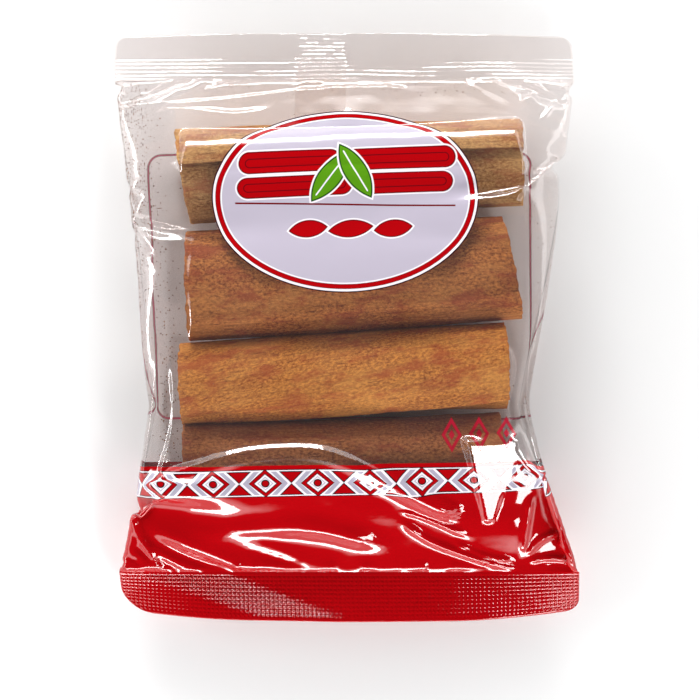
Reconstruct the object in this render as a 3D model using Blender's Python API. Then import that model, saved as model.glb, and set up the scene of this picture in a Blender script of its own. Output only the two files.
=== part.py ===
"""A clear pillow bag of cinnamon quills, lying on its back with the printed front up.

The bag is one piece of film, shut by a crimped seal at its head and at its foot, so it is one
solid out to the film. +X runs along the quills, +Y towards the head seal, +Z out of the front.
The origin is on the floor, under the middle of the bag.
"""

import bmesh
import bpy
import numpy as np

# Driving dimensions, in metres
BAG_LENGTH = 0.1384          # tip of the foot seal to tip of the head seal
SEAL_WIDTH = 0.1082          # the film tube laid flat
WAIST_WIDTH = 0.0872         # where the filled bag is narrowest
WAIST_Y = -0.0180
WAIST_CURVE = (0.9, 1.15)    # how the width grows to the head and to the foot: 1 is straight
HEAD_SEAL_DEPTH = 0.0108
FOOT_SEAL_DEPTH = 0.0118
SEAL_THICKNESS = 0.0006
SEAL_HEIGHT = 0.0100         # middle of the seals above the floor
SIDE_CREASE_HEIGHT = 0.0104  # where front and back film meet at the sides
CORNER_RADIUS = 0.0032
LEAN = 0.0019                # the head seal sits this far to the left of the foot seal
SEAL_DROOP = 0.0045          # how far a seal's corners sag below its middle
FOOT_EDGE_BOW = 0.0026       # the sagging foot seal's corners also draw back by this much
DROOP_POWER = 3              # 1 would sag straight from the middle

# The quills that fill the bag, head to foot: middle (y, z) and diameter
QUILLS = (
    (0.0376, 0.0113, 0.0212),
    (0.0108, 0.0120, 0.0228),
    (-0.0111, 0.0124, 0.0208),
    (-0.0318, 0.0107, 0.0204),
)
FILM_CLEARANCE = 0.0004      # film and slack over a quill

# Where the back lies flat on the floor
FLAT_BACK_Y = (-0.0330, 0.0385)

# Crimp ribs run across both seals
RIB_PITCH = 0.0018
RIB_DEPTH = 0.00012

# Mesh resolution
RING_POINTS = 44
BELLY_STATIONS = 40
STATIONS_PER_RIB = 3
CORNER_STATIONS = 4
HULL_POINTS = 25             # on the upper half of each quill
BOXINESS = 6.0               # superellipse power of a section
FLATNESS = 1.05              # how far a section would pass the floor before it is cut flat
SHARP_ANGLE = 50             # degrees

FILM_COLOUR = (0.82, 0.76, 0.74, 1.0)


def clear_scene():
    for obj in list(bpy.data.objects):
        bpy.data.objects.remove(obj, do_unlink=True)


def film_material():
    material = bpy.data.materials.new("film")
    material.use_nodes = True
    shader = material.node_tree.nodes["Principled BSDF"]
    shader.inputs["Base Color"].default_value = FILM_COLOUR
    shader.inputs["Roughness"].default_value = 0.12
    shader.inputs["Metallic"].default_value = 0.0
    return material


def seal_lines():
    """Y of the foot seal's and the head seal's inner edges."""
    return -BAG_LENGTH / 2 + FOOT_SEAL_DEPTH, BAG_LENGTH / 2 - HEAD_SEAL_DEPTH


def taut_film(foot_y, head_y):
    """(y, z) corners of film drawn tight over the quills from seal line to seal line: an upper hull."""
    angles = np.linspace(0.0, np.pi, HULL_POINTS)
    points = [(foot_y, SEAL_HEIGHT), (head_y, SEAL_HEIGHT)]
    for y, z, diameter in QUILLS:
        radius = diameter / 2 + FILM_CLEARANCE
        points += list(zip(y + radius * np.cos(angles), z + radius * np.sin(angles)))
    points.sort()
    hull = []
    for point in points:
        while len(hull) > 1 and turn(hull[-2], hull[-1], point) >= 0:
            hull.pop()
        hull.append(point)
    return np.array(hull)


def turn(a, b, c):
    """Positive where the path a, b, c turns left."""
    return (b[0] - a[0]) * (c[1] - a[1]) - (b[1] - a[1]) * (c[0] - a[0])


def smooth_step(t):
    t = np.clip(t, 0.0, 1.0)
    return t * t * (3 - 2 * t)


def back_height(y, foot_y, head_y):
    """The back film: flat on the floor under the quills, rising to the seal lines."""
    low, high = FLAT_BACK_Y
    rise = smooth_step((y - high) / (head_y - high)) + smooth_step((low - y) / (low - foot_y))
    return SEAL_HEIGHT * rise


def half_width(y, foot_y, head_y):
    """Full width at the seals, drawn in to the waist because the bag is filled."""
    to_head = np.clip((y - WAIST_Y) / (head_y - WAIST_Y), 0.0, 1.0)
    to_foot = np.clip((WAIST_Y - y) / (WAIST_Y - foot_y), 0.0, 1.0)
    let_out = to_head ** WAIST_CURVE[0] + to_foot ** WAIST_CURVE[1]
    full = (WAIST_WIDTH + (SEAL_WIDTH - WAIST_WIDTH) * let_out) / 2
    # Rounded corners at both tips
    to_tip = BAG_LENGTH / 2 - np.abs(y)
    inside = np.clip(CORNER_RADIUS - to_tip, 0.0, CORNER_RADIUS)
    return full - (CORNER_RADIUS - np.sqrt(CORNER_RADIUS**2 - inside**2))


def stations(foot_y, head_y):
    """Y of every section: fine in the ribbed seals, and at the rounded tips."""
    tip = BAG_LENGTH / 2
    corner = tip - CORNER_RADIUS * (1 - np.sin(np.linspace(0.0, np.pi / 2, CORNER_STATIONS)))
    step = RIB_PITCH / STATIONS_PER_RIB
    foot = np.arange(-tip + CORNER_RADIUS, foot_y - step / 2, step)
    head = np.arange(head_y + step, tip - CORNER_RADIUS, step)
    belly = np.linspace(foot_y, head_y, BELLY_STATIONS)
    return np.unique(np.concatenate([-corner, foot, belly, head, corner]).round(7))


def section(y, foot_y, head_y, hull):
    """One closed ring of (x, y, z) around the bag at y: a superellipse, cut flat at the floor."""
    in_seal = y <= foot_y or y >= head_y
    if in_seal:
        middle = SEAL_HEIGHT
        rib = RIB_DEPTH * np.cos(2 * np.pi * y / RIB_PITCH)
        up = down = SEAL_THICKNESS / 2 + rib
    else:
        to_side = 4 * (y - foot_y) * (head_y - y) / (head_y - foot_y) ** 2
        middle = SEAL_HEIGHT + (SIDE_CREASE_HEIGHT - SEAL_HEIGHT) * to_side
        up = max(np.interp(y, hull[:, 0], hull[:, 1]) - middle, SEAL_THICKNESS / 2)
        down = max(middle - back_height(y, foot_y, head_y), SEAL_THICKNESS / 2) * FLATNESS
    angle = np.linspace(0.0, 2 * np.pi, RING_POINTS, endpoint=False)
    across, along = np.cos(angle), np.sin(angle)
    x = half_width(y, foot_y, head_y) * np.sign(across) * np.abs(across) ** (2 / BOXINESS)
    reach = np.where(along > 0, up, down)
    z = middle + reach * np.sign(along) * np.abs(along) ** (2 / BOXINESS)
    # A seal's corners sag, more so towards its tip
    to_corner = (np.abs(x) / (SEAL_WIDTH / 2)) ** DROOP_POWER
    past_foot = max(foot_y - y, 0.0) / FOOT_SEAL_DEPTH
    past_head = max(y - head_y, 0.0) / HEAD_SEAL_DEPTH
    z -= SEAL_DROOP * to_corner * max(past_foot, past_head)
    bowed_y = y + FOOT_EDGE_BOW * to_corner * past_foot
    lean = -LEAN * y / BAG_LENGTH
    return np.column_stack([x + lean, bowed_y, np.maximum(z, 0.0)])


def loft(rings):
    """Skins the rings in order, and closes both ends."""
    bm = bmesh.new()
    loops = [[bm.verts.new(point) for point in ring] for ring in rings]
    count = len(loops[0])
    for near, far in zip(loops, loops[1:]):
        for i in range(count):
            j = (i + 1) % count
            bm.faces.new((near[i], near[j], far[j], far[i]))
    bm.faces.new(loops[0])
    bm.faces.new(loops[-1])
    bmesh.ops.recalc_face_normals(bm, faces=bm.faces)
    mesh = bpy.data.meshes.new("sealed_bag")
    bm.to_mesh(mesh)
    bm.free()
    return mesh


def make_bag(collection):
    foot_y, head_y = seal_lines()
    hull = taut_film(foot_y, head_y)
    rings = [section(y, foot_y, head_y, hull) for y in stations(foot_y, head_y)]
    mesh = loft(rings)
    mesh.materials.append(film_material())
    mesh.shade_smooth()
    mesh.set_sharp_from_angle(angle=np.radians(SHARP_ANGLE))
    bag = bpy.data.objects.new("sealed_bag", mesh)
    collection.objects.link(bag)
    return bag


def main():
    clear_scene()
    collection = bpy.data.collections.new("bag_of_cinnamon_quills")
    bpy.context.scene.collection.children.link(collection)
    make_bag(collection)


main()
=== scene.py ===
# A clear, printed pillow bag of cinnamon quills, lying on its back.
# The film is drawn tight over the quills by a small simulation, then printed, creased and sealed.

import math

import bpy
import numpy as np
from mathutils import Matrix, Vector


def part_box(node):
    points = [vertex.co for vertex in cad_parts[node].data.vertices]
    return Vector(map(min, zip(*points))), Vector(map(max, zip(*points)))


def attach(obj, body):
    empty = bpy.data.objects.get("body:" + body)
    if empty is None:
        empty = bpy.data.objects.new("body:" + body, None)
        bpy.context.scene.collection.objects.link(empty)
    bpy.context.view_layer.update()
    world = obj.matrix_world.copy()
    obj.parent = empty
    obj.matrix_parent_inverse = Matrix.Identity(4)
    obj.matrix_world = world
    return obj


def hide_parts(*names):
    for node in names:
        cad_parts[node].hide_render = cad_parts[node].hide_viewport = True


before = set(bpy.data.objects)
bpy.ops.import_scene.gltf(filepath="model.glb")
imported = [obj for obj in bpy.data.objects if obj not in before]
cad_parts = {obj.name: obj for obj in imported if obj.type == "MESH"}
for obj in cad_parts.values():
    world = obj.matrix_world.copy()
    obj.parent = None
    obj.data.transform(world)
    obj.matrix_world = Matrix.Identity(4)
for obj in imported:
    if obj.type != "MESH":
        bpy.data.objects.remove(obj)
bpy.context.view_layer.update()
bagLow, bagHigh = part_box("sealed_bag")

mm = 0.001
rng = np.random.default_rng(50)

bag = {
    "width": 108.2 * mm,          # the film tube laid flat
    "headSeal": 10.8 * mm,
    "footSeal": 11.8 * mm,
    "sealHeight": 10.0 * mm,       # middle of the seals above the floor
    "cornerDroop": 4.5 * mm,      # a seal's corners sag by this much
    "footBow": 2.6 * mm,          # and the foot seal's corners draw back
    "lean": 1.9 * mm,             # the head seal sits to the left of the foot seal
    "filmLength": 122.6 * mm,     # of film between the two seal lines
    "waistHalfWidth": 43.4 * mm,
    "waistPlace": -18.0 * mm,
    "waistMiddle": -2.6 * mm,
}
footTip, headTip = bagLow.y, bagHigh.y
footLine = footTip + bag["footSeal"]
headLine = headTip - bag["headSeal"]

# Each quill: middle x and y; length; half its depth along y and half its height; turn in degrees;
# where round the section its lap is, in degrees from +y, which way it winds and how far it twists along it;
# how much wider its right end is; bow along y; how its cut ends lean. Lengths in mm.
quills = {
    "quill_head": dict(x=1.1, y=37.2, length=79.4, wide=11.1, tall=9.8, turn=2.4, seam=77,
                       wind=-1, twist=-6, taper=-0.08, bow=0.4, slantLeft=-0.13, slantRight=0.02),
    "quill_second": dict(x=0.6, y=11.9, length=75.8, wide=12.9, tall=11.0, turn=3.5, seam=-55,
                         wind=1, twist=5, taper=-0.04, bow=-0.3, slantLeft=0.03, slantRight=-0.14),
    "quill_third": dict(x=-0.9, y=-11.2, length=75.9, wide=10.4, tall=11.3, turn=3.0, seam=165,
                        wind=-1, twist=-60, taper=0.10, bow=0.3, slantLeft=0.02, slantRight=0.02),
    "quill_foot": dict(x=-0.9, y=-31.0, length=74.2, wide=10.3, tall=9.9, turn=2.4, seam=-55,
                       wind=1, twist=5, taper=-0.03, bow=-0.3, slantLeft=0.0, slantRight=0.0),
}
backClearance = 0.3 * mm


def smoothStep(t):
    t = np.clip(t, 0.0, 1.0)
    return t * t * (3 - 2 * t)


# Value noise: random numbers on a lattice, joined by smooth steps. Repeats after "period" along x.
def noise(x, y, seed, period=None):
    lattice = np.random.default_rng(seed).uniform(-1, 1, (257, 257))
    columns = period if period else 256
    i, j = np.floor(x).astype(int), np.floor(y).astype(int)
    a, b = smoothStep(x - i), smoothStep(y - j)
    i0, i1 = i % columns, (i + 1) % columns
    j0, j1 = j % 256, (j + 1) % 256
    low = lattice[i0, j0] * (1 - a) + lattice[i1, j0] * a
    high = lattice[i0, j1] * (1 - a) + lattice[i1, j1] * a
    return low * (1 - b) + high * b


# Octaves of that noise, each twice as fine and half as strong
def roughness(x, y, seed, octaves=4, period=None):
    total = 0
    for k in range(octaves):
        total = total + noise(x * 2**k, y * 2**k, seed + k, period and period * 2**k) / 2**k
    return total


def meshPiece(name, points, faces, smooth=True):
    mesh = bpy.data.meshes.new(name)
    points = np.asarray(points, np.float32).reshape(-1, 3)
    faces = np.asarray(faces, np.int32)
    corners = faces.shape[1]
    mesh.vertices.add(len(points))
    mesh.vertices.foreach_set("co", points.ravel())
    mesh.loops.add(faces.size)
    mesh.loops.foreach_set("vertex_index", faces.ravel())
    mesh.polygons.add(len(faces))
    mesh.polygons.foreach_set("loop_start", np.arange(0, faces.size, corners, dtype=np.int32))
    mesh.polygons.foreach_set("use_smooth", np.full(len(faces), smooth))
    mesh.update(calc_edges=True)
    mesh.validate()
    piece = bpy.data.objects.new(name, mesh)
    bpy.context.scene.collection.objects.link(piece)
    return piece


def addAttribute(piece, name, values):
    values = np.asarray(values, np.float32)
    kind = "FLOAT" if values.ndim == 1 else "FLOAT_VECTOR"
    layer = piece.data.attributes.new(name, kind, "POINT")
    layer.data.foreach_set("value" if values.ndim == 1 else "vector", values.ravel())


# Quads of a grid of rows and columns; the columns can close into a ring
def gridFaces(rows, columns, ring=False, flip=False):
    index = np.arange(rows * columns).reshape(rows, columns)
    after = np.roll(index, -1, axis=1) if ring else index[:, 1:]
    index = index if ring else index[:, :-1]
    quads = np.stack([index[:-1], after[:-1], after[1:], index[1:]], axis=-1).reshape(-1, 4)
    return quads[:, ::-1] if flip else quads


filmSim = {
    "levels": ((108, 62, 700), (216, 124, 250)),   # columns, rows, steps
    "damping": 0.92,
    "gravity": 0.0002 * mm,
    "pressure": 0.0006 * mm,
    "spread": 0.004 * mm,         # stiff film keeps the sides out
    "shear": 0.25,
    "bend": 0.35,
    "clearance": 0.5 * mm,
}


# Half the bag's width where the sides are drawn in: least at the waist, full at the seals
def halfOutline(y):
    up = np.clip((y - bag["waistPlace"]) / (headLine - bag["waistPlace"]), 0, 1)
    down = np.clip((bag["waistPlace"] - y) / (bag["waistPlace"] - footLine), 0, 1)
    full = bag["width"] / 2
    return bag["waistHalfWidth"] + (full - bag["waistHalfWidth"]) * (up**0.9 + down**1.15)


def outlineMiddle(y):
    near = np.exp(-((y - bag["waistPlace"]) / (28 * mm)) ** 2)
    return bag["waistMiddle"] * near - bag["lean"] * y / (headTip - footTip)


# Springs of the tube: along, around, across both diagonals, and two apart for stiffness in bending.
# Each group has no vertex twice, so that a whole group moves at once.
def springGroups(columns, rows, width, length):
    index = np.arange(columns * (rows + 1)).reshape(rows + 1, columns)
    around, along = 2 * width / columns, length / rows
    ring = np.roll(index, -1, axis=1)
    groups = []

    def add(a, b, rest, strength, pushOnly=False):
        groups.append((a.ravel(), b.ravel(), rest, strength, pushOnly))

    for k in (0, 1):
        add(index[:, k::2], ring[:, k::2], around, 1.0)
        add(index[k:-1:2], index[k + 1::2], along, 1.0)
    diagonal = math.hypot(around, along)
    back = np.roll(index, 1, axis=1)
    for k in (0, 1):
        add(index[k:-1:2], ring[k + 1::2], diagonal, filmSim["shear"])
        add(index[k:-1:2], back[k + 1::2], diagonal, filmSim["shear"])
    twoOn = np.roll(index, -2, axis=1)
    for k in (0, 2):
        pick = np.r_[tuple(slice(c, c + 2) for c in range(k, columns, 4))]
        add(index[:, pick], twoOn[:, pick], 2 * around, filmSim["bend"], True)
        starts = [r for r in range(rows - 1) if r % 4 in (k, k + 1)]
        add(index[starts], index[[r + 2 for r in starts]], 2 * along, filmSim["bend"], True)
    return groups


def relaxSprings(points, groups):
    for a, b, rest, strength, pushOnly in groups:
        gap = points[b] - points[a]
        length = np.sqrt((gap * gap).sum(axis=1)) + 1e-9
        stretch = length - rest
        if pushOnly:
            stretch = np.minimum(stretch, 0)
        move = gap * (0.5 * strength * stretch / length)[:, None]
        points[a] += move
        points[b] -= move


# Pushes points out of the quills: each is an oval cylinder with rounded rims
def keepOffQuills(points, grown):
    rim = 2.0 * mm
    for quill in quills.values():
        turn = math.radians(quill["turn"])
        tall = quill["tall"] * mm * grown
        wide = quill["wide"] * mm * grown
        middleZ = bag["sealHeight"] * (1 - grown) + (tall + backClearance) * grown
        dx, dy = points[:, 0] - quill["x"] * mm, points[:, 1] - quill["y"] * mm
        along = dx * math.cos(turn) + dy * math.sin(turn)
        side = -dx * math.sin(turn) + dy * math.cos(turn)
        up = points[:, 2] - middleZ
        taper = 1 + quill["taper"] * along / (quill["length"] * mm)
        wideHere = wide * taper + filmSim["clearance"]
        tallHere = tall * taper + filmSim["clearance"]
        half = quill["length"] * mm / 2 * (0.9 + 0.1 * grown) + filmSim["clearance"]
        reach = np.sqrt((side / wideHere) ** 2 + (up / tallHere) ** 2) + 1e-9
        radius = np.minimum(wideHere, tallHere)
        outward = reach * radius - (radius - rim)
        endward = np.abs(along) - (half - rim)
        inside = (outward < rim) & (endward < rim)
        if not inside.any():
            continue
        o, e = outward[inside], endward[inside]
        both = (o > 0) & (e > 0)
        distance = np.where(both, np.hypot(np.maximum(o, 0), np.maximum(e, 0)), np.maximum(o, e)) - rim
        push = np.maximum(-distance, 0)
        length = np.hypot(o, e) + 1e-9
        toSide = np.where(both, o / length, (o >= e).astype(float))
        toEnd = np.where(both, e / length, (o < e).astype(float))
        s, u, r = side[inside], up[inside], reach[inside]
        nearest = radius[inside]
        sideways = s / wideHere[inside] / r * push * toSide
        upwards = u / tallHere[inside] / r * push * toSide
        endways = np.sign(along[inside]) * push * toEnd
        where = np.nonzero(inside)[0]
        points[where, 0] += endways * math.cos(turn) - sideways * math.sin(turn)
        points[where, 1] += endways * math.sin(turn) + sideways * math.cos(turn)
        points[where, 2] += upwards


# The tube laid flat: x follows the column there and back, y the row, z a hair above or below the seals
def flatTube(columns, rows):
    turn = np.arange(columns) / columns * 2
    x = np.where(turn <= 1, turn - 0.5, 1.5 - turn) * bag["width"]
    side = np.where((turn > 0) & (turn < 1), 1.0, np.where(turn > 1, -1.0, 0.0))
    along = np.linspace(0, 1, rows + 1)[:, None]
    y = footLine + (headLine - footLine) * along + 0 * x
    bulge = 3 * mm * np.sin(np.pi * along)
    z = bag["sealHeight"] + side * (0.15 * mm + bulge * (1 - (2 * x / bag["width"]) ** 4))
    return np.stack([x + 0 * along, y, z + 0 * along], axis=-1)


def refine(points, columns, rows):
    # Straight-line resampling of the tube onto more rows and columns
    oldRows, oldColumns = points.shape[:2]
    r = np.linspace(0, oldRows - 1, rows + 1)
    r0 = np.minimum(r.astype(int), oldRows - 2)
    t = (r - r0)[:, None, None]
    points = points[r0] * (1 - t) + points[r0 + 1] * t
    c = np.arange(columns) / columns * oldColumns
    c0 = c.astype(int)
    t = (c - c0)[None, :, None]
    return points[:, c0 % oldColumns] * (1 - t) + points[:, (c0 + 1) % oldColumns] * t


def simulateFilm():
    points = None
    for level, (columns, rows, steps) in enumerate(filmSim["levels"]):
        if points is None:
            points = flatTube(columns, rows)
            wave = roughness(np.linspace(0, 9, columns)[None, :] + 0 * points[..., 0],
                             np.linspace(0, 7, rows + 1)[:, None] + 0 * points[..., 0], 3)
            points[1:-1, :, 2] += 0.4 * mm * wave[1:-1]
        else:
            points = refine(points, columns, rows)
        groups = springGroups(columns, rows, bag["width"], bag["filmLength"])
        points = points.reshape(-1, 3)
        ends = np.r_[0:columns, rows * columns:(rows + 1) * columns]
        held = flatTube(columns, rows).reshape(-1, 3)[ends]
        held[:, 0] += outlineMiddle(held[:, 1])
        shape = (rows + 1, columns, 3)
        mirrored = (-np.arange(columns)) % columns
        front = np.arange(1, columns // 2)
        last = points.copy()
        for step in range(steps):
            grown = 1.0 if level else min(1.0, (step + 1) / (0.6 * steps))
            speed = (points - last) * filmSim["damping"]
            last = points.copy()
            points += speed
            grid = points.reshape(shape)
            # Air inside presses along the normals
            across = np.roll(grid, -1, axis=1) - np.roll(grid, 1, axis=1)
            ahead = np.empty_like(grid)
            ahead[1:-1] = grid[2:] - grid[:-2]
            ahead[0] = ahead[1]
            ahead[-1] = ahead[-2]
            normal = np.cross(across, ahead)
            normal /= np.linalg.norm(normal, axis=-1, keepdims=True) + 1e-12
            fade = 1.0 - 0.6 * step / steps
            grid += normal * filmSim["pressure"] * fade
            grid[..., 2] -= filmSim["gravity"]
            grid[..., 0] += filmSim["spread"] * (2 * grid[..., 0] / bag["width"]) ** 3
            relaxSprings(points, groups)
            keepOffQuills(points, grown)
            np.maximum(points[:, 2], 0.0, out=points[:, 2])
            middle = outlineMiddle(points[:, 1])
            half = halfOutline(points[:, 1])
            points[:, 0] = np.clip(points[:, 0], middle - half, middle + half)
            # Front and back films never pass through each other
            grid = points.reshape(shape)
            gap = grid[:, front, 2] - grid[:, mirrored[front], 2]
            short = np.maximum(0.2 * mm - gap, 0) / 2
            grid[:, front, 2] += short
            grid[:, mirrored[front], 2] -= short
            points[ends] = held
        points = points.reshape(shape)
    return points


film = simulateFilm()
print("film drawn over the quills", film.reshape(-1, 3).min(0), film.reshape(-1, 3).max(0))


# Cubic resampling of the tube: around it for ever, along it with straight ends
def smoothRefine(points, columns, rows):
    def cubic(values, spots, axis, closed):
        count = values.shape[axis]
        base = np.floor(spots).astype(int)
        t = (spots - base).reshape((-1, 1, 1) if axis == 0 else (1, -1, 1))
        picks = []
        for k in (-1, 0, 1, 2):
            at = base + k
            at = at % count if closed else np.clip(at, 0, count - 1)
            picks.append(np.take(values, at, axis=axis))
        a, b, c, d = picks
        return b + 0.5 * t * (c - a + t * (2 * a - 5 * b + 4 * c - d + t * (3 * (b - c) + d - a)))

    points = cubic(points, np.linspace(0, points.shape[0] - 1, rows + 1), 0, False)
    return cubic(points, np.arange(columns) / columns * points.shape[1], 1, True)


filmGrid = {"columns": 480, "rows": 396}
film = smoothRefine(film, filmGrid["columns"], filmGrid["rows"])


def gridNormals(points, ring):
    if ring:
        across = np.roll(points, -1, axis=1) - np.roll(points, 1, axis=1)
    else:
        across = np.gradient(points, axis=1)
    normal = np.cross(across, np.gradient(points, axis=0))
    return normal / (np.linalg.norm(normal, axis=-1, keepdims=True) + 1e-12)


filmNormals = gridNormals(film, True)
frontColumns = np.arange(filmGrid["columns"] // 2 + 1)

# The belly's profile near both seals, once the film is taut: heights in mm at places y in mm, from the seal
# line inwards
tautEnds = (
    {"y": (-57.4, -54.0, -50.0, -46.0, -42.0, -38.0, -34.0), "z": (10.2, 11.9, 13.8, 15.7, 17.7, 19.7, 20.9)},
    {"y": (58.4, 54.0, 50.0, 46.0, 42.0, 38.0, 34.0), "z": (10.2, 12.3, 14.3, 16.2, 18.1, 19.8, 20.7)},
)


# Lifts or lowers each row of the front near a seal by what its mean lacks, so that its own unevenness stays
def tauten(profile):
    front = film[:, frontColumns]
    middle = np.abs(front[..., 0]) < 36 * mm
    rowY = (front[..., 1] * middle).sum(1) / middle.sum(1)
    rowZ = (front[..., 2] * middle).sum(1) / middle.sum(1)
    line, inner = profile["y"][0] * mm, profile["y"][-1] * mm
    inwards = np.sign(inner - line)
    past = (rowY - line) * inwards
    order = np.argsort(profile["y"])
    target = np.interp(rowY / mm, np.take(profile["y"], order), np.take(profile["z"], order)) * mm
    ends = smoothStep((abs(inner - line) - past) / (5 * mm)) * smoothStep(past / (1.5 * mm))
    reach = smoothStep((47 * mm - np.abs(front[..., 0])) / (9 * mm))
    film[:, frontColumns, 2] += ((target - rowZ) * ends)[:, None] * reach


for profile in tautEnds:
    tauten(profile)
onFront = film[:, frontColumns].reshape(-1, 3)
keepOffQuills(onFront, 1.0)
film[:, frontColumns] = onFront.reshape(len(film), -1, 3)
filmNormals = gridNormals(film, True)

# Folds pressed into the front: the spots that each passes, in mm on the table; its width and height in mm;
# how far its ends fade, as a share of its length. Some also have: the mean of its height along its length
# and how far noise varies that, as shares; and how many times wider its side towards the foot is.
creases = {
    "arch_over_band": dict(spots=((-46.5, -38.5), (-44.0, -35.6), (-34.8, -32.1), (-26.0, -29.5),
                                  (-18.7, -28.4), (-10.0, -28.1), (-3.3, -29.2), (5.4, -32.8), (12.8, -36.9), (20.1, -40.5),
                                  (27.0, -43.5)), width=1.8, height=1.62, fade=0.08,
                           level=1.0, uneven=0.06, footSide=1.9),
    "foot_lens": dict(spots=((-38.0, -48.6), (-27.9, -47.0), (-19.0, -46.4), (-10.1, -46.3), (-2.7, -47.4),
                             (5.5, -50.0), (14.0, -53.5)), width=2.8, height=1.05, fade=0.30),
    "foot_long": dict(spots=((11.8, -44.6), (20.8, -50.4), (40.2, -57.2)), width=1.1, height=0.75, fade=0.15),
    "foot_upper": dict(spots=((10.8, -41.8), (19.2, -44.6), (30.0, -49.5)),
                       width=0.9, height=0.50, fade=0.25),
    "foot_lower": dict(spots=((24.0, -49.6), (31.0, -53.0), (40.0, -55.0)), width=0.9, height=0.55, fade=0.2),
    "fan_up": dict(spots=((40.8, -54.6), (41.6, -46.0), (42.6, -38.0)), width=0.9, height=0.70, fade=0.2),
    "fan_out": dict(spots=((41.2, -54.2), (45.0, -49.6), (50.2, -47.5)), width=0.9, height=0.60, fade=0.25),
    "fan_side": dict(spots=((41.6, -55.0), (47.0, -54.0), (53.5, -54.6)), width=0.9, height=0.60, fade=0.25),
    "waist_left": dict(spots=((-40.4, -6.0), (-39.5, -15.5), (-40.1, -23.7), (-41.6, -29.6), (-43.6, -36.0)),
                       width=0.9, height=0.80, fade=0.15),
    "waist_left_outer": dict(spots=((-43.6, -5.0), (-44.6, -17.0), (-46.6, -30.0), (-48.6, -38.0)),
                             width=0.9, height=0.45, fade=0.25),
    "end_left": dict(spots=((-35.4, 22.0), (-35.6, 10.0), (-35.4, 0.0), (-36.4, -4.0)),
                     width=0.8, height=0.5, fade=0.2),
    "waist_right": dict(spots=((42.4, 0.0), (40.4, -12.0), (41.2, -22.0), (45.6, -34.0)),
                        width=1.0, height=0.6, fade=0.3),
    "foot_left": dict(spots=((-51.4, -41.0), (-48.2, -49.0), (-43.6, -57.0)),
                      width=1.0, height=0.65, fade=0.2),
    "head_long": dict(spots=((-54.0, 51.8), (-39.4, 52.4), (-25.0, 53.8), (-11.0, 55.4),
                             (4.0, 56.2), (14.0, 56.0)),
                      width=0.8, height=0.45, fade=0.06),
    "head_under": dict(spots=((-50.0, 50.4), (-38.0, 51.0), (-26.0, 49.8), (-16.0, 51.6)),
                       width=0.8, height=0.30, fade=0.3),
    "head_roll": dict(spots=((-47.0, 56.4), (-36.0, 55.4), (-24.0, 56.6), (-10.0, 57.4)),
                      width=1.3, height=0.60, fade=0.3),
    "corner_right": dict(spots=((53.0, 57.4), (48.8, 52.6), (44.2, 47.0)), width=0.7, height=0.5, fade=0.2),
    "corner_short": dict(spots=((47.0, 56.0), (43.5, 54.2), (39.8, 52.0)), width=1.1, height=0.7, fade=0.35),
    "corner_left": dict(spots=((-53.0, 57.0), (-50.4, 54.6), (-45.0, 54.6)), width=1.2, height=0.7, fade=0.3),
}
# A flat facet beside the arch: a wedge narrowing towards the foot, pulled up to a plane that falls towards
# the foot and to the right
facet = {"x": 33.0, "top": -25.5, "foot": -46.0, "halfTop": 6.5, "halfFoot": 1.0,
         "height": 20.9, "through": (36.0, -31.5), "slope": (-0.20, 0.375)}


# How far the facet's plane lies above the film at given places, times a border that is soft at the left
def facetHeight(points):
    x, y, z = points[:, 0] / mm, points[:, 1] / mm, points[:, 2] / mm
    acrossSlope, alongSlope = facet["slope"]
    plane = facet["height"] + acrossSlope * (x - facet["through"][0]) + alongSlope * (y - facet["through"][1])
    fall = np.clip((y - facet["foot"]) / (facet["top"] - facet["foot"]), 0, 1)
    half = facet["halfFoot"] + (facet["halfTop"] - facet["halfFoot"]) * fall
    leftEdge = smoothStep((x - facet["x"] + half) / 1.6 + 0.5)
    rightEdge = smoothStep((facet["x"] + half - x) / 1.2 + 0.5)
    border = leftEdge * rightEdge
    border = border * smoothStep((facet["top"] + 1.5 - y) / 3.0) * smoothStep((y - facet["foot"]) / 1.5)
    return (plane - z) * mm * border


# A smooth curve through a few spots: Catmull-Rom pieces, sampled evenly in their parameter
def throughSpots(spots, samples=90):
    spots = np.asarray(spots, float)
    knots = np.vstack([2 * spots[0] - spots[1], spots, 2 * spots[-1] - spots[-2]])
    t = np.linspace(0, len(spots) - 1 - 1e-9, samples)
    k = t.astype(int)
    t = (t - k)[:, None]
    a, b, c, d = knots[k], knots[k + 1], knots[k + 2], knots[k + 3]
    return b + 0.5 * t * (c - a + t * (2 * a - 5 * b + 4 * c - d + t * (3 * (b - c) + d - a)))


# Height of a fold at table places: exp(-1.4 d squared) over the distance d from its curve in fold widths,
# with d shortened on the foot side, times a fade at both ends and slow noise along it
def foldHeight(places, fold):
    path = throughSpots(fold["spots"]) * mm
    low, high = path.min(0) - 3 * fold["width"] * mm, path.max(0) + 3 * fold["width"] * mm
    near = ((places > low) & (places < high)).all(axis=1)
    height = np.zeros(len(places))
    gap = np.linalg.norm(places[near][:, None] - path[None], axis=2)
    nearest = gap.argmin(axis=1)
    distance = gap.min(axis=1) / (fold["width"] * mm)
    offset = places[near] - path[nearest]
    heading = np.gradient(path, axis=0)[nearest]
    below = heading[:, 0] * offset[:, 1] < heading[:, 1] * offset[:, 0]
    distance = distance / np.where(below, fold.get("footSide", 1.0), 1.0)
    t = nearest / (len(path) - 1)
    ends = smoothStep(t / fold["fade"]) * smoothStep((1 - t) / fold["fade"])
    uneven = fold.get("level", 0.8) + fold.get("uneven", 0.35) * noise(t * 9, 0 * t, 61)
    height[near] = fold["height"] * mm * ends * uneven * np.exp(-distance**2 * 1.4)
    return height


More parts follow.
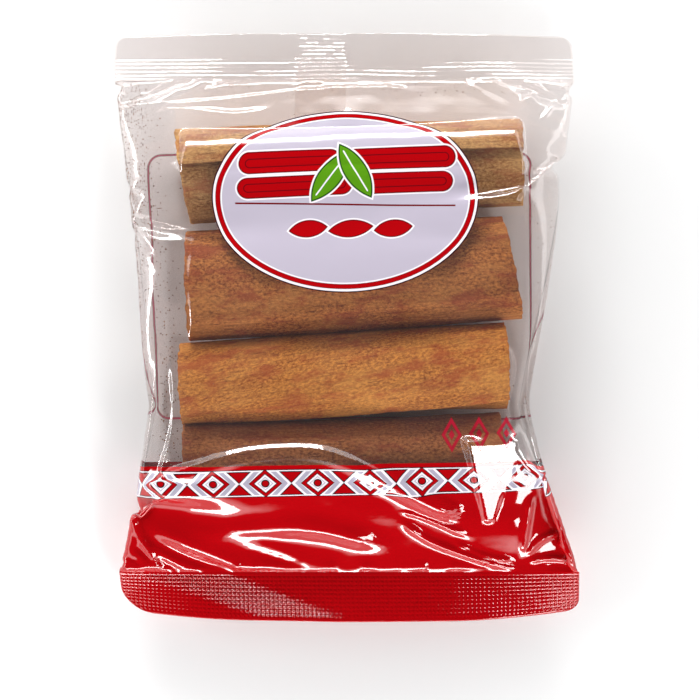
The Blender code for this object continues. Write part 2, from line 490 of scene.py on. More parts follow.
# Small blisters where the belly meets a seal: a ridge along the seal line, broken by noise
def blisters(places, line, seed):
    off = np.abs(places[:, 1] - line) / (1.1 * mm)
    strength = np.clip(noise(places[:, 0] / (4.2 * mm) + 30, 0 * off, seed) + 0.25, 0, 1)
    strength = strength * (0.6 + 0.4 * noise(places[:, 0] / (1.3 * mm) + 30, 0 * off, seed + 1))
    return 0.55 * mm * strength * np.exp(-off**2)


def pressFolds():
    front = film[:, frontColumns]
    places = front[..., :2].reshape(-1, 2)
    height = np.zeros(len(places))
    for fold in creases.values():
        height = np.maximum(height, foldHeight(places, fold))
    height = height + blisters(places, footLine + 1.4 * mm, 71)
    height = height + 0.8 * blisters(places, headLine - 1.6 * mm, 75)
    slack = 0.10 * mm * roughness(places[:, 0] / (9 * mm) + 20, places[:, 1] / (7 * mm) + 20, 81, 2)
    height = height + slack
    along = np.linspace(0, 1, len(film))[:, None] + 0 * front[..., 0]
    atEnds = smoothStep(np.minimum(along, 1 - along) / 0.008).ravel()
    rise = (height * atEnds).reshape(front.shape[:2])
    film[:, frontColumns] += filmNormals[:, frontColumns] * rise[..., None]
    lift = facetHeight(film[:, frontColumns].reshape(-1, 3)).reshape(front.shape[:2])
    film[:, frontColumns, 2] += lift


pressFolds()
# Flat place on the tube: u from the front's middle, v from the foot seal line
tubeU = (np.arange(filmGrid["columns"]) / filmGrid["columns"] * 2 - 0.5) * bag["width"]
tubeV = np.linspace(0, bag["filmLength"], filmGrid["rows"] + 1)
middleColumn = filmGrid["columns"] // 4


# Film coordinate v where the front's middle line passes over table coordinate y
def filmAt(y):
    return float(np.interp(y, film[:, middleColumn, 1], tubeV))


class Wire:
    # One output of a material's node tree. Sums and comparisons on it add Math nodes.
    def __init__(self, tree, socket):
        self.tree = tree
        self.socket = socket

    def math(self, operation, *others, clamp=False):
        node = self.tree.nodes.new("ShaderNodeMath")
        node.operation = operation
        node.use_clamp = clamp
        for slot, value in zip(node.inputs, others):
            connect(self.tree, value, slot)
        return Wire(self.tree, node.outputs[0])

    def __add__(self, other):
        return self.math("ADD", self, other)

    __radd__ = __add__

    def __sub__(self, other):
        return self.math("SUBTRACT", self, other)

    def __rsub__(self, other):
        return self.math("SUBTRACT", other, self)

    def __mul__(self, other):
        return self.math("MULTIPLY", self, other)

    __rmul__ = __mul__

    def __truediv__(self, other):
        return self.math("DIVIDE", self, other)

    def __pow__(self, other):
        return self.math("POWER", self, other)

    def __abs__(self):
        return self.math("ABSOLUTE", self)

    def least(self, other):
        return self.math("MINIMUM", self, other)

    def most(self, other):
        return self.math("MAXIMUM", self, other)

    def clamped(self):
        return self.math("ADD", self, 0.0, clamp=True)

    # 1 where this is below edge, 0 above, over a soft border
    def below(self, edge, soft):
        return ((edge - self) / soft + 0.5).clamped()

    def above(self, edge, soft):
        return ((self - edge) / soft + 0.5).clamped()


def connect(tree, value, slot):
    if isinstance(value, Wire):
        tree.links.new(value.socket, slot)
    elif isinstance(value, (tuple, list)) and len(value) == 3 and len(slot.default_value) == 4:
        slot.default_value = (*value, 1.0)
    else:
        slot.default_value = value


class Finish:
    # A material under construction
    def __init__(self, name):
        self.material = bpy.data.materials.new(name)
        self.material.use_nodes = True
        self.tree = self.material.node_tree
        self.tree.nodes.clear()

    # Adds any node: its type, its settings, then its sockets' values or links
    def add(self, kind, settings=None, output=0, **sockets):
        node = self.tree.nodes.new("ShaderNode" + kind)
        for key, value in (settings or {}).items():
            if key == "stops":
                ramp = node.color_ramp
                while len(ramp.elements) < len(value):
                    ramp.elements.new(0.5)
                for element, (place, colour) in zip(ramp.elements, value):
                    element.position = place
                    element.color = (*colour, 1.0)
            else:
                setattr(node, key, value)
        for key, value in sockets.items():
            slot = node.inputs[int(key[1:])] if key[1:].isdigit() else node.inputs[key.replace("_", " ")]
            connect(self.tree, value, slot)
        return Wire(self.tree, node.outputs[output])

    def mixColour(self, factor, first, second, blend="MIX"):
        node = self.tree.nodes.new("ShaderNodeMix")
        node.data_type = "RGBA"
        node.blend_type = blend
        connect(self.tree, factor, node.inputs[0])
        connect(self.tree, first, node.inputs[6])
        connect(self.tree, second, node.inputs[7])
        return Wire(self.tree, node.outputs[2])

    def stack(self, ground, *layers):
        # Layers of ink: each a mask and a colour over what is under it
        for mask, colour in layers:
            ground = self.mixColour(mask, ground, colour)
        return ground

    def attribute(self, name):
        vector = self.add("Attribute", {"attribute_name": name}, output=1)
        split = self.tree.nodes.new("ShaderNodeSeparateXYZ")
        connect(self.tree, vector, split.inputs[0])
        return vector, [Wire(self.tree, split.outputs[k]) for k in range(3)]

    def noise(self, vector, scale, detail=3.0, stretch=None, rough=0.55):
        if stretch:
            vector = self.add("Mapping", None, Vector=vector, Scale=stretch)
        return self.add("TexNoise", None, Vector=vector, Scale=scale, Detail=detail, Roughness=rough)

    def surface(self, shader):
        out = self.tree.nodes.new("ShaderNodeOutputMaterial")
        connect(self.tree, shader, out.inputs[0])
        return self.material


# The sRGB curve undone: c / 12.92 in the darks, ((c + 0.055) / 1.055) to the power 2.4 above them
def linear(c):
    return c / 12.92 if c <= 0.04045 else ((c + 0.055) / 1.055) ** 2.4


def srgb(red, green, blue):
    return tuple(round(linear(c / 255), 4) for c in (red, green, blue))


ink = {
    "red": srgb(176, 2, 10),
    "darkRed": srgb(110, 6, 16),
    "black": srgb(40, 12, 22),
    "white": srgb(246, 240, 246),
    "lilac": srgb(192, 184, 200),
    "grey": srgb(178, 172, 190),
    "green": srgb(88, 150, 22),
    "darkGreen": srgb(30, 74, 16),
    "crimson": srgb(196, 60, 100),
    "markRed": srgb(172, 22, 48),
}
label = {"x": 0.4 * mm, "y": 29.2 * mm, "halfWidth": 29.6 * mm, "halfHeight": 21.3 * mm}
backFrame = {"x": -0.7, "halfWidth": 43.9, "top": 42.6 * mm, "foot": -21.0 * mm, "corner": 3.0, "line": 0.28}
marks = {"x": 30.2, "y": -24.6 * mm, "pitch": 6.2, "halfWide": 2.3, "halfTall": 4.2}
band = {"top": -32.6 * mm, "bottom": -38.7 * mm, "pitch": 11.7 * mm, "start": -41.45 * mm}


# Film seen as inks over clear film: returns the ink's colour and how far it covers
def printInks(finish):
    vector, (u, v, side) = finish.attribute("film_place")
    u, v = u / mm, v / mm
    labelTop = filmAt(label["y"] + label["halfHeight"]) / mm
    labelFoot = filmAt(label["y"] - label["halfHeight"]) / mm
    middle, half = (labelTop + labelFoot) / 2, (labelTop - labelFoot) / 2
    bandTop, bandFoot = filmAt(band["top"]) / mm, filmAt(band["bottom"]) / mm

    # The red field and the patterned band
    t = abs(v - (bandTop + bandFoot) / 2)
    tall = (bandTop - bandFoot) / 2
    pitch = band["pitch"] / mm
    repeats = (u - band["start"] / mm) / pitch
    s = abs((repeats.math("FRACT", repeats) - 0.5) * pitch)
    s2 = pitch / 2 - s
    diamond = s2 / 3.6 + t / tall
    hourglass = s - (t - 0.2) * 0.95
    inBand = t.below(tall, 0.08)
    chevron = s - t * 0.9
    pattern = finish.stack(
        ink["white"],
        (chevron.above(0.8, 0.1) * chevron.below(2.0, 0.1) * t.below(tall - 0.45, 0.1), ink["grey"]),
        ((hourglass.below(0.2, 0.1) * t.below(tall - 0.35, 0.08)), ink["black"]),
        ((hourglass.below(-0.12, 0.1) * t.below(tall - 0.6, 0.08)), ink["red"]),
        (diamond.below(1.06, 0.03), ink["black"]),
        (diamond.below(0.99, 0.03), ink["red"]),
        (diamond.below(0.74, 0.03), ink["black"]),
        (diamond.below(0.67, 0.03), ink["white"]),
        (diamond.below(0.5, 0.03), ink["lilac"]),
        (diamond.below(0.42, 0.03), ink["white"]),
        (((s2 * s2 + t * t) ** 0.5).below(0.95, 0.1), ink["black"]),
        (((s2 * s2 + t * t) ** 0.5).below(0.68, 0.1), ink["red"]),
    )
    edge = (v - bandTop).above(0.0, 0.05) * (v - bandTop).below(1.05, 0.05)
    field = v.below(bandFoot, 0.06)
    lower = v.below(bandTop + 1.05, 0.06)
    colour = finish.mixColour(inBand, ink["red"], pattern)
    bandLines = abs(v - bandTop).below(0.1, 0.08).most(abs(v - bandFoot).below(0.1, 0.08))
    colour = finish.mixColour(bandLines, colour, ink["black"])

    # The oval label, with its rings
    across, up = (u - label["x"] / mm) / (label["halfWidth"] / mm), (v - middle) / half
    radial = (across * across + up * up) ** 0.5
    steep = (across * across * (mm / label["halfWidth"]) ** 2 + up * up * (1 / half) ** 2) ** 0.5
    oval = (radial - 1.0) * radial / (steep + 0.0001)
    onFront = side.above(0.5, 0.1)
    labelMask = oval.below(0.0, 0.08) * onFront
    rings = finish.stack(
        ink["black"],
        (oval.below(-0.28, 0.08), ink["white"]),
        (oval.below(-0.82, 0.08), ink["darkRed"]),
        (oval.below(-0.97, 0.08), ink["red"]),
        (oval.below(-1.80, 0.08), ink["darkRed"]),
        (oval.below(-1.95, 0.08), ink["white"]),
        (oval.below(-2.30, 0.1), ink["lilac"]),
    )
    motif = motifInks(finish, u - label["x"] / mm, v - middle, rings)
    colour = finish.mixColour(labelMask, colour, motif)

    # A thin rounded frame on the back, seen through the margins
    backU = abs(u - bag["width"] / mm + backFrame["x"]) - backFrame["halfWidth"]
    frameTop, frameFoot = filmAt(backFrame["top"]) / mm, filmAt(backFrame["foot"]) / mm
    backV = abs(v - (frameTop + frameFoot) / 2) - (frameTop - frameFoot) / 2
    corner = backFrame["corner"]
    outside = ((backU + corner).most(0.0) ** 2 + (backV + corner).most(0.0) ** 2) ** 0.5
    rim = outside + (backU.most(backV) + corner).least(0.0) - corner
    frameMask = abs(rim).below(backFrame["line"], 0.1) * (1 - onFront) * 0.8
    colour = finish.mixColour(frameMask, colour, ink["crimson"])

    # A row of small hollow diamonds at the lower right, in line with the quills
    marksV = filmAt(marks["y"]) / mm
    step = marks["pitch"]
    places = [marks["x"] + step * k for k in (-1, 0, 1)]
    shapes = [abs(u - x) / marks["halfWide"] + abs(v - marksV - (x - marks["x"]) * 0.05) / marks["halfTall"]
              for x in places]
    nearest = shapes[0].least(shapes[1]).least(shapes[2])
    hollow = (nearest.above(0.62, 0.1) + nearest.below(0.3, 0.1)).clamped()
    marksMask = nearest.below(1.0, 0.1) * hollow * onFront
    colour = finish.mixColour(marksMask, colour, ink["markRed"])
    return u, v, side, colour, lower.most(labelMask).most(frameMask).most(marksMask * 0.9)


# The label's motif: three rolled sticks side by side, a leaf across them and a rule below
def motifInks(finish, x, y, ground):
    def bar(cx, cy, halfLong, halfWide, lean):
        dx, dy = x - cx, y - cy
        c, s = math.cos(lean), math.sin(lean)
        along, across = abs(dx * c + dy * s), abs(dy * c - dx * s)
        return (((along - halfLong + halfWide).most(0.0)) ** 2 + across * across) ** 0.5 - halfWide

    def leaf(cx, cy, length, bulge, lean):
        dx, dy = x - cx, y - cy
        c, s = math.cos(lean), math.sin(lean)
        along, across = dx * c + dy * s, abs(dy * c - dx * s)
        radius = (length * length + bulge * bulge) / (2 * bulge)
        return (along * along + (across + (radius - bulge)) ** 2) ** 0.5 - radius, across

    for cx, cy, length in ((-12.2, 8.6, 11.2), (12.0, 9.4, 12.0), (-11.2, 3.0, 12.6), (13.0, 3.8, 10.6)):
        shape = bar(cx, cy, length, 2.3, 0.04)
        ground = finish.stack(
            ground,
            (shape.below(0.5, 0.1), ink["white"]),
            (shape.below(0.14, 0.1), ink["darkRed"]),
            (shape.below(-0.15, 0.1), ink["red"]),
            (abs(shape + 1.4).below(0.12, 0.1), ink["darkRed"]),
        )
    for cx, cy, lean in ((-3.4, 5.2, 0.95), (2.2, 6.4, 2.1)):
        shape, across = leaf(cx, cy, 7.0, 2.5, lean)
        ground = finish.stack(
            ground,
            (shape.below(0.5, 0.1), ink["white"]),
            (shape.below(0.12, 0.1), ink["darkGreen"]),
            (shape.below(-0.2, 0.1), ink["green"]),
            (shape.below(-0.9, 0.1) * across.below(0.16, 0.1), ink["white"]),
        )
    rule = abs(y + 1.3 + x * 0.02).below(0.2, 0.08) * abs(x).below(24.4, 0.2)
    ground = finish.stack(ground, (rule, ink["darkRed"]))
    for cx, length in ((-8.2, 4.2), (1.2, 4.9), (10.6, 4.2)):
        shape, across = leaf(cx, -7.0, length, 2.0, 0.12)
        ground = finish.stack(
            ground,
            (shape.below(0.5, 0.1), ink["white"]),
            (shape.below(0.14, 0.1), ink["darkRed"]),
            (shape.below(-0.15, 0.1), ink["red"]),
        )
    return ground


filmLook = {
    "haze": 0.032,
    "hazeColour": srgb(206, 186, 186),
    "tint": srgb(250, 247, 246),
    "gloss": 0.035,
    "reflection": 1.7,
    "inkRoughness": 0.045,
}


def filmMaterial(name="printed_film"):
    finish = Finish(name)
    u, v, side, colour, cover = printInks(finish)
    vector = finish.add("Attribute", {"attribute_name": "film_place"}, output=1)
    ripple = finish.noise(vector, 90.0, 3.0)
    bump = finish.add("Bump", None, Strength=0.12, Distance=0.0006, Height=ripple)
    # Schlick's reflection, the same from both sides of the film
    facing = finish.add("LayerWeight", None, output=1, Blend=0.5, Normal=bump)
    fresnel = 0.045 + 0.955 * facing ** 5.0
    clear = finish.add("BsdfTransparent", None, Color=filmLook["tint"])
    shine = finish.add("BsdfGlossy", None, Color=(1.0, 1.0, 1.0), Roughness=filmLook["gloss"], Normal=bump)
    glass = finish.add("MixShader", None, _0=(fresnel * filmLook["reflection"]).clamped(), _1=clear, _2=shine)
    milk = finish.add("BsdfPrincipled", None, Base_Color=filmLook["hazeColour"], Roughness=0.5, Normal=bump)
    cloud = finish.noise(vector, 60.0, 4.0)
    # The front film is made hazier along its left margin, most about 42 mm left of the middle
    hazierAtLeft = (abs(u + 42.0)).below(3.0, 10.0) * side * 0.05
    glass = finish.add("MixShader", None, _0=(cloud * 0.05 + filmLook["haze"] - 0.025 + hazierAtLeft).clamped(),
                       _1=glass, _2=milk)
    paint = finish.add("BsdfPrincipled", None, Base_Color=colour, Roughness=filmLook["inkRoughness"],
                       Specular_IOR_Level=0.65, Normal=bump)
    return finish.surface(finish.add("MixShader", None, _0=cover, _1=glass, _2=paint))


printedFilm = filmMaterial()
root = "root"


def dress(piece, material):
    piece.data.materials.append(material)
    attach(piece, root)
    return piece


# The front and the back of the tube, as two sheets that meet at the side folds
def makeFilmSheets():
    columns = filmGrid["columns"]
    half = columns // 2
    for name, picks, side in (("film_front", np.arange(half + 1), 1.0),
                              ("film_back", np.arange(half, columns + 1) % columns, 0.0)):
        every = 1 if side else 2
        sheet = film[::every, picks]
        piece = meshPiece(name, sheet, gridFaces(sheet.shape[0], sheet.shape[1]))
        u = tubeU[picks].copy()
        if side == 0.0:
            u[-1] = 1.5 * bag["width"]
        place = np.stack(np.broadcast_arrays(u[None, :], tubeV[::every, None], side), axis=-1)
        addAttribute(piece, "film_place", place.reshape(-1, 3))
        dress(piece, printedFilm)
        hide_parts("sealed_bag")


makeFilmSheets()
print("film sheets made")


seals = {
    "thickness": 0.3 * mm,
    "ribPitch": 0.95 * mm,
    "ribDepth": 0.125 * mm,
    "knurlPitch": 1.0 * mm,
    "knurlDepth": 0.32 * mm,
    "cornerRadius": 3.2 * mm,
    "curledCornerRadius": 7.5 * mm,   # the foot's left corner
    "seamMiddle": -5.3 * mm,          # where the back seam crosses
    "seamWidth": 12.0 * mm,
}


# A seal is a flat tube of two welded films. It starts at its seal line and is closed at its tip;
# its height is the seal's, less the droop of its corners, plus a slow wave and the crimp.
def makeSeal(name, atHead, columns, rows):
    depth = bag["headSeal"] if atHead else bag["footSeal"]
    line = headLine if atHead else footLine
    out = np.linspace(0, 1, rows)[:, None] * depth
    ends = np.linspace(-1, 1, columns)[None, :]
    radius = np.where(atHead | (ends > 0), seals["cornerRadius"], seals["curledCornerRadius"])
    inside = np.clip(out - (depth - radius), 0, radius)
    narrow = radius - np.sqrt(radius**2 - inside**2)
    flatX = ends * (bag["width"] / 2 - narrow)
    corner = np.abs(flatX / (bag["width"] / 2)) ** 3
    past = out / depth
    direction = 1 if atHead else -1
    y = line + direction * out - (0 if atHead else -1) * bag["footBow"] * corner * past
    y = y + 0.25 * mm * past * noise(flatX / (16 * mm) + 9, 0 * flatX, 21 + atHead)
    x = flatX + outlineMiddle(y)
    z = bag["sealHeight"] - bag["cornerDroop"] * corner * past
    z = z + 0.5 * mm * past * noise(flatX / (13 * mm) + 40, out / (20 * mm), 31 + atHead)
    if atHead:
        ribbed = smoothStep((5.6 * mm - out) / (1.2 * mm)) * smoothStep(out / (0.4 * mm))
        onSeam = smoothStep((seals["seamWidth"] / 2 - np.abs(flatX - seals["seamMiddle"])) / (0.3 * mm))
        wander = 0.35 * noise(flatX / (18 * mm) + 60, out / (3 * mm), 47)
        strength = ribbed * (0.80 + 0.4 * noise(flatX / (14 * mm) + 70, out / (1.5 * mm), 43)) + 0.75 * onSeam
        crimp = seals["ribDepth"] * strength * np.cos(2 * np.pi * (out / seals["ribPitch"] + wander))
        crumple = roughness(flatX / (1.6 * mm) + 80, out / (0.7 * mm), 45, 3)
        crimp = crimp + 0.05 * mm * onSeam * crumple + 0.02 * mm * crumple
        crimp = crimp * smoothStep(out / (0.3 * mm))
    else:
        pressed = smoothStep((depth - out - 0.6 * mm) / (0.5 * mm)) * smoothStep((out - 0.5 * mm) / (0.5 * mm))
        # Small pyramids, pressed deepest along a slanting zone at the left, less so near the right end
        slanting = smoothStep(1.6 * np.exp(-((flatX + 40 * mm - 2.6 * out) / (10 * mm)) ** 2))
        rightEnd = smoothStep((flatX - 14 * mm) / (30 * mm)) * smoothStep((8 * mm - out) / (4 * mm))
        uneven = 0.55 + 0.92 * slanting + 0.28 * rightEnd
        uneven = uneven + 0.08 * noise(flatX / (6 * mm) + 90, out / (3 * mm), 49)
        fromMiddle = [np.abs((place / seals["knurlPitch"]) % 1 - 0.5) for place in (flatX, out)]
        pyramid = 1 - 2 * np.maximum(*np.broadcast_arrays(*fromMiddle))
        crimp = seals["knurlDepth"] * pressed * uneven * (pyramid - 0.5)
        # The seal tips up a little left of its middle, and catches the light there
        z = z + 0.8 * mm * past**1.5 * np.exp(-((flatX + 24 * mm) / (17 * mm)) ** 2)
    thick = seals["thickness"] / 2 * np.minimum(1, (1 - past) * depth / (0.3 * mm) + 0.02)
    v = -out if not atHead else bag["filmLength"] + out
    layers = []
    for sign in (1, -1):
        layers.append(np.stack(np.broadcast_arrays(x, y, z + crimp + sign * thick), axis=-1))
    count = rows * columns
    top = gridFaces(rows, columns, flip=atHead is False)
    bottom = gridFaces(rows, columns, flip=atHead is True) + count
    index = np.arange(count).reshape(rows, columns)
    rims = []
    for edge in (index[:, 0], index[-1], index[:, -1][::-1]):
        rims.append(np.stack([edge[:-1], edge[1:], edge[1:] + count, edge[:-1] + count], axis=-1))
    rims = np.concatenate(rims)
    if atHead is False:
        rims = rims[:, ::-1]
    piece = meshPiece(name, np.concatenate([layers[0].reshape(-1, 3), layers[1].reshape(-1, 3)]),
                      np.concatenate([top, bottom, rims]))
    front = np.stack(np.broadcast_arrays(flatX, v, 1.0), axis=-1).reshape(-1, 3)
    back = np.stack(np.broadcast_arrays(bag["width"] - flatX, v, 0.0), axis=-1).reshape(-1, 3)
    addAttribute(piece, "film_place", np.concatenate([front, back]))
    dress(piece, printedFilm)


makeSeal("head_seal", True, 260, 110)
makeSeal("foot_seal", False, 640, 72)
print("seals made")


def makeBackSeam():
    columns = filmGrid["columns"]
    acrossBack = tubeU - bag["width"]
    picks = np.nonzero(np.abs(acrossBack + seals["seamMiddle"]) <= seals["seamWidth"] / 2)[0]
    strip = film[::2, picks] + filmNormals[::2, picks] * 0.15 * mm
    strip[:, 0] -= filmNormals[::2, picks[0]] * 0.12 * mm
    ripple = 0.06 * mm * noise(strip[..., 0] / (3 * mm) + 50, strip[..., 1] / (5 * mm) + 50, 91)
    strip = strip + filmNormals[::2, picks] * ripple[..., None]
    piece = meshPiece("back_seam", strip, gridFaces(*strip.shape[:2]))
    place = np.stack(np.broadcast_arrays(tubeU[picks][None, :], tubeV[::2, None], 0.0), axis=-1)
    addAttribute(piece, "film_place", place.reshape(-1, 3))
    dress(piece, printedFilm)


makeBackSeam()
print("back seam made")


# Zones: middle x and y, spread in x and y, all in mm on the table; how many flakes; largest size in mm
dustZones = {
    "left_margin": dict(x=-50.0, y=36.0, wide=3.2, tall=16.0, count=900, size=0.60),
    "left_upper": dict(x=-51.5, y=51.0, wide=2.6, tall=3.0, count=320, size=0.60),
    "left_inner": dict(x=-44.5, y=12.0, wide=3.0, tall=12.0, count=200, size=0.70),
    "left_low": dict(x=-41.2, y=-20.0, wide=1.6, tall=12.0, count=320, size=0.65),
    "under_head_seal": dict(x=15.0, y=56.4, wide=24.0, tall=1.0, count=120, size=0.5),
    "right_margin": dict(x=46.0, y=20.0, wide=3.0, tall=20.0, count=100, size=0.55),
    "everywhere": dict(x=0.0, y=10.0, wide=34.0, tall=30.0, count=160, size=0.45),
}


# Flakes are squashed, turned octahedra. Each lies under the film vertex nearest to its spot.
def makeDust():
    rows, columns = film.shape[0], len(frontColumns)
    counts = [zone["count"] for zone in dustZones.values()]
    varying = ("x", "y", "wide", "tall", "size")
    each = {key: np.repeat([zone[key] for zone in dustZones.values()], counts) for key in varying}
    x = rng.normal(each["x"], each["wide"]) * mm
    y = rng.normal(each["y"], each["tall"]) * mm
    row = np.clip(np.searchsorted(film[:, middleColumn, 1], y), 3, rows - 4)
    column = np.abs(film[row][:, frontColumns, 0] - x[:, None]).argmin(axis=1)
    sizes = each["size"] * mm * rng.uniform(0.3, 1.0, len(x)) ** 1.3
    octahedron = np.array([(1, 0, 0), (0, 1, 0), (-1, 0, 0), (0, -1, 0), (0, 0, 1), (0, 0, -1)], float)
    sides = np.array([(0, 1, 4), (1, 2, 4), (2, 3, 4), (3, 0, 4), (1, 0, 5), (2, 1, 5), (3, 2, 5), (0, 3, 5)])
    stretch = rng.uniform(0.5, 1.0, (len(x), 1, 3)) * (1, 0.7, 0.3)
    turn = rng.uniform(0, 2 * np.pi, len(x))
    shapes = octahedron[None] * stretch * sizes[:, None, None] / 2
    c, sn = np.cos(turn)[:, None], np.sin(turn)[:, None]
    flat = np.stack([shapes[..., 0] * c - shapes[..., 1] * sn, shapes[..., 0] * sn + shapes[..., 1] * c,
                     shapes[..., 2]], axis=-1)
    centres = film[row, column] - filmNormals[row, column] * 0.25 * mm
    points = flat + centres[:, None]
    faces = sides[None] + np.arange(len(x))[:, None, None] * 6
    piece = meshPiece("cinnamon_dust", points, faces.reshape(-1, 3), smooth=False)
    finish = Finish("cinnamon_dust")
    place = finish.add("TexCoord", output=3)
    tone = finish.add("TexNoise", None, Vector=place, Scale=700.0)
    colour = finish.mixColour(tone.above(0.5, 0.3), srgb(92, 54, 40), srgb(156, 112, 78))
    dress(piece, finish.surface(finish.add("BsdfPrincipled", None, Base_Color=colour, Roughness=0.9)))


makeDust()
print("dust made")


bark = {
    "thickness": 1.3 * mm,
    "turns": 1.7,
    "gap": 0.25 * mm,
    "sunk": 0.35 * mm,
    "aroundPoints": 230,
    "stations": 150,
}


# A rolled sheet of bark: its section is a spiral that starts at the lap and winds inward, oval overall.
# The section is carried along a slightly bowed axis, tapered, with ridges, lumps and ragged ends.
def makeQuill(name, quill, seed):
    count, stations = bark["aroundPoints"], bark["stations"]
    turns = bark["turns"]
    q = np.linspace(0, 1, count) ** 1.25
    wide, tall, length = quill["wide"] * mm, quill["tall"] * mm, quill["length"] * mm
    mean = (wide + tall) / 2
    direction = quill["wind"]
    angle0 = math.radians(quill["seam"])
    step = bark["thickness"] + bark["gap"]
    along = np.linspace(-0.5, 0.5, stations)[:, None]
    twist = math.radians(quill["twist"]) * along
    angle = angle0 + twist + direction * 2 * np.pi * turns * q[None, :]
    # The sheet keeps its radius, then dips under its own outer edge just before it comes round to it
    winding = q * turns
    inward = step * (smoothStep((winding - 0.72) / 0.28) + np.maximum(0, winding - 1))
    around = 2 * np.pi * mean * turns * q
    x = along * length
    lumps = 0.30 * mm * noise(x / (26 * mm) + 7, around[None, :] / (13 * mm) + 3, seed)
    lumps = lumps + 0.16 * mm * noise(x / (11 * mm) + 2, around[None, :] / (5 * mm), seed + 1)
    ridges = 0.10 * mm * noise(x / (14 * mm) + 5, around[None, :] / (1.8 * mm), seed + 2)
    ridges = ridges + 0.07 * mm * noise(x / (2.5 * mm) + 8, around[None, :] / (0.9 * mm), seed + 3)
    lip = 0.15 * mm * np.exp(-around[None, :] / (2.5 * mm))
    outer = mean - bark["sunk"] - inward[None, :] + lumps * np.exp(-q * turns) + ridges + lip
    edge = np.clip(around[None, :] / (0.9 * mm), 0, 1) ** 0.5
    dimples = 0.05 * mm * noise(x / (8 * mm), around[None, :] / (2 * mm), seed + 4)
    inner = outer - bark["thickness"] * (0.35 + 0.65 * edge) + dimples
    taper = 1 + quill["taper"] * along
    turn = math.radians(quill["turn"])
    middleZ = tall + backClearance
    walls = []
    for radius in (outer, inner):
        side = np.cos(angle) * radius * taper * wide / mean
        up = np.sin(angle) * radius * taper * tall / mean
        whichEnd = np.sign(along) + 5 + 0 * around[None, :]
        ragged = 0.22 * mm * roughness(around[None, :] / (1.7 * mm) + 11, whichEnd, seed + 5, 3)
        slant = np.where(along < 0, quill["slantLeft"], quill["slantRight"])
        end = np.clip(np.abs(along) * 2, 0, 1) ** 3
        px = x + end * (slant * side + np.sign(along) * ragged)
        py = side + quill["bow"] * mm * (1 - 4 * along**2)
        points = np.stack([px * math.cos(turn) - py * math.sin(turn) + quill["x"] * mm,
                           px * math.sin(turn) + py * math.cos(turn) + quill["y"] * mm,
                           up + middleZ], axis=-1)
        walls.append(points)
    ring = np.concatenate([walls[0], walls[1][:, ::-1]], axis=1)
    columns = 2 * count
    faces = gridFaces(stations, columns, ring=True, flip=direction < 0)
    k = np.arange(count - 1)
    caps = []
    for row, turned in ((0, False), (stations - 1, True)):
        base = row * columns
        quads = np.stack([base + k, base + k + 1, base + columns - 2 - k, base + columns - 1 - k], axis=-1)
        caps.append(quads[:, ::-1] if turned != (direction > 0) else quads)
    piece = meshPiece(name, ring, np.concatenate([faces, *caps]))
    place = np.concatenate([np.stack(np.broadcast_arrays(x, around[None, :], depth), axis=-1)
                            for depth in (0.0, bark["thickness"])], axis=1)
    place[:, count:] = place[:, count:][:, ::-1]
    addAttribute(piece, "bark_place", place.reshape(-1, 3))
    return piece


# Bark: sandy grain over broad patches, some red, some pale, with short dark cracks along the quill
def barkMaterial(name, palette, shift):
    finish = Finish(name)
    vector, (x, around, depth) = finish.attribute("bark_place")
    moved = finish.add("Mapping", None, Vector=vector, Location=(shift, shift * 2, 0.0))
    grain = finish.noise(moved, 1.0, 3.0, stretch=(1100.0, 1700.0, 1700.0), rough=0.7)
    speck = finish.noise(moved, 1.0, 2.0, stretch=(1900.0, 2300.0, 2300.0), rough=0.6)
    patch = finish.noise(moved, 1.0, 4.0, stretch=(55.0, 130.0, 130.0), rough=0.6)
    redness = finish.noise(moved, 1.0, 4.0, stretch=(90.0, 190.0, 190.0), rough=0.65)
    streak = finish.noise(moved, 1.0, 3.0, stretch=(70.0, 900.0, 900.0))
    crack = finish.noise(moved, 1.0, 2.0, stretch=(260.0, 2200.0, 2200.0))
    base = finish.mixColour(grain.above(0.5, 0.24), palette["dark"], palette["light"])
    base = finish.mixColour(patch.above(0.55, 0.22) * 0.55, base, palette["pale"])
    base = finish.mixColour(redness.above(0.55, 0.12) * 0.75, base, palette["red"])
    base = finish.mixColour(streak.above(0.6, 0.2) * 0.35, base, palette["dark"])
    base = finish.mixColour(speck.above(0.66, 0.08) * 0.55, base, palette["pale"])
    base = finish.mixColour(crack.above(0.68, 0.06) * 0.6, base, palette["scar"])
    base = finish.mixColour(depth.above(bark["thickness"] / 2, 0.0004) * 0.6, base, palette["scar"])
    height = grain * 0.55 + speck * 0.25 + streak * 0.35 - crack.above(0.66, 0.1) * 0.4
    bump = finish.add("Bump", None, Strength=0.75, Distance=0.0005, Height=height)
    return finish.surface(finish.add("BsdfPrincipled", None, Base_Color=base, Roughness=0.8, Normal=bump,
                                     Specular_IOR_Level=0.25))


palettes = {
    "quill_head": dict(light=srgb(206, 156, 94), dark=srgb(140, 92, 50), pale=srgb(220, 180, 120),
                       red=srgb(158, 88, 54), scar=srgb(96, 48, 28)),
    "quill_second": dict(light=srgb(204, 130, 64), dark=srgb(118, 62, 28), pale=srgb(204, 142, 78),
                         red=srgb(146, 64, 36), scar=srgb(80, 34, 20)),
    "quill_third": dict(light=srgb(224, 148, 62), dark=srgb(144, 78, 26), pale=srgb(228, 164, 80),
                        red=srgb(168, 78, 34), scar=srgb(96, 42, 18)),
    "quill_foot": dict(light=srgb(190, 122, 68), dark=srgb(116, 64, 34), pale=srgb(190, 130, 82),
                       red=srgb(136, 62, 40), scar=srgb(76, 36, 22)),
}
for number, (name, quill) in enumerate(quills.items()):
    piece = makeQuill(name, quill, 100 + 10 * number)
    dress(piece, barkMaterial(name.replace("quill", "bark"), palettes[name], 0.13 * number))
print("quills made")


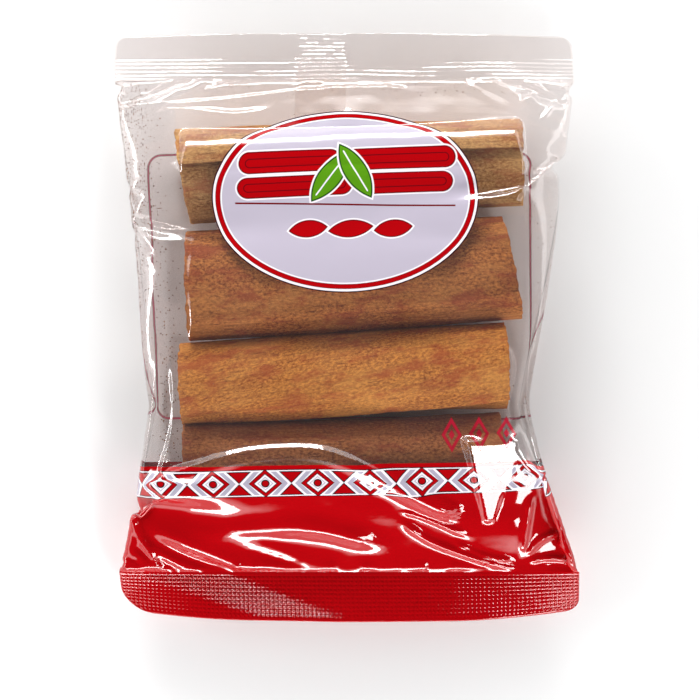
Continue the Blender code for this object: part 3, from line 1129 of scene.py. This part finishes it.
def makeFloor():
    size = 3.0
    corners = [(-size, -size, 0), (size, -size, 0), (size, size, 0), (-size, size, 0)]
    floor = meshPiece("floor", np.array(corners) + (0, 0, -0.0003), [[0, 1, 2, 3]], smooth=False)
    finish = Finish("floor")
    matt = finish.add("BsdfPrincipled", None, Base_Color=srgb(250, 250, 250), Roughness=0.9)
    floor.data.materials.append(finish.surface(matt))


makeFloor()

# Each lamp stands low, so that only folds mirror it: its direction round the bag and its height above
# the table in degrees, its distance and size in metres, and its radiance
lamps = {
    "key": dict(around=97, above=18, away=1.0, size=(0.60, 0.17), radiance=27.0),
    "facet_light": dict(around=-60, above=39, away=1.0, size=(0.20, 0.20), radiance=18.0),
    "foot_light": dict(around=-90, above=17, away=0.85, size=(0.50, 0.12), radiance=20.0),
    "left_light": dict(around=176, above=22, away=0.85, size=(0.50, 0.10), radiance=14.0),
}
# The room: dark overhead, with a bright ring low round the table. Heights are sines of the angle.
room = {"overhead": 0.03, "ring": 3.0, "ringLow": 0.20, "ringHigh": 0.46, "horizon": 1.0}


def makeLamps():
    for name, lamp in lamps.items():
        light = bpy.data.lights.new(name, "AREA")
        light.shape = "RECTANGLE"
        light.size, light.size_y = lamp["size"]
        light.energy = lamp["radiance"] * math.pi * lamp["size"][0] * lamp["size"][1]
        around, above = math.radians(lamp["around"]), math.radians(lamp["above"])
        level = math.cos(above)
        away = Vector((level * math.cos(around), level * math.sin(around), math.sin(above)))
        holder = bpy.data.objects.new(name, light)
        holder.location = away * lamp["away"] + Vector((0, 0, 0.01))
        holder.rotation_euler = away.to_track_quat("Z", "Y").to_euler()
        bpy.context.scene.collection.objects.link(holder)
    world = bpy.data.worlds.new("studio")
    world.use_nodes = True
    tree = world.node_tree
    place = tree.nodes.new("ShaderNodeTexCoord")
    split = tree.nodes.new("ShaderNodeSeparateXYZ")
    tree.links.new(place.outputs["Generated"], split.inputs[0])
    height = Wire(tree, split.outputs[2])
    ring = height.above(room["ringLow"], 0.08) * height.below(room["ringHigh"], 0.08)
    strength = ring * room["ring"] + height.below(room["ringLow"], 0.08) * room["horizon"] + room["overhead"]
    background = tree.nodes["Background"]
    background.inputs["Color"].default_value = (1.0, 1.0, 1.0, 1.0)
    connect(tree, strength, background.inputs["Strength"])
    bpy.context.scene.world = world


makeLamps()

camera = {"lens": 100.0, "span": 164.7 * mm, "aimX": 0.6 * mm, "aimY": -5.2 * mm, "plane": 10.0 * mm}


def makeCamera():
    data = bpy.data.cameras.new("camera")
    data.lens = camera["lens"]
    data.sensor_width = 36.0
    data.clip_start = 0.01
    holder = bpy.data.objects.new("camera", data)
    away = camera["span"] * camera["lens"] / data.sensor_width
    holder.location = (camera["aimX"], camera["aimY"], camera["plane"] + away)
    bpy.context.scene.collection.objects.link(holder)
    bpy.context.scene.camera = holder


makeCamera()
bpy.context.scene.view_settings.view_transform = "Standard"

bpy.context.view_layer.update()
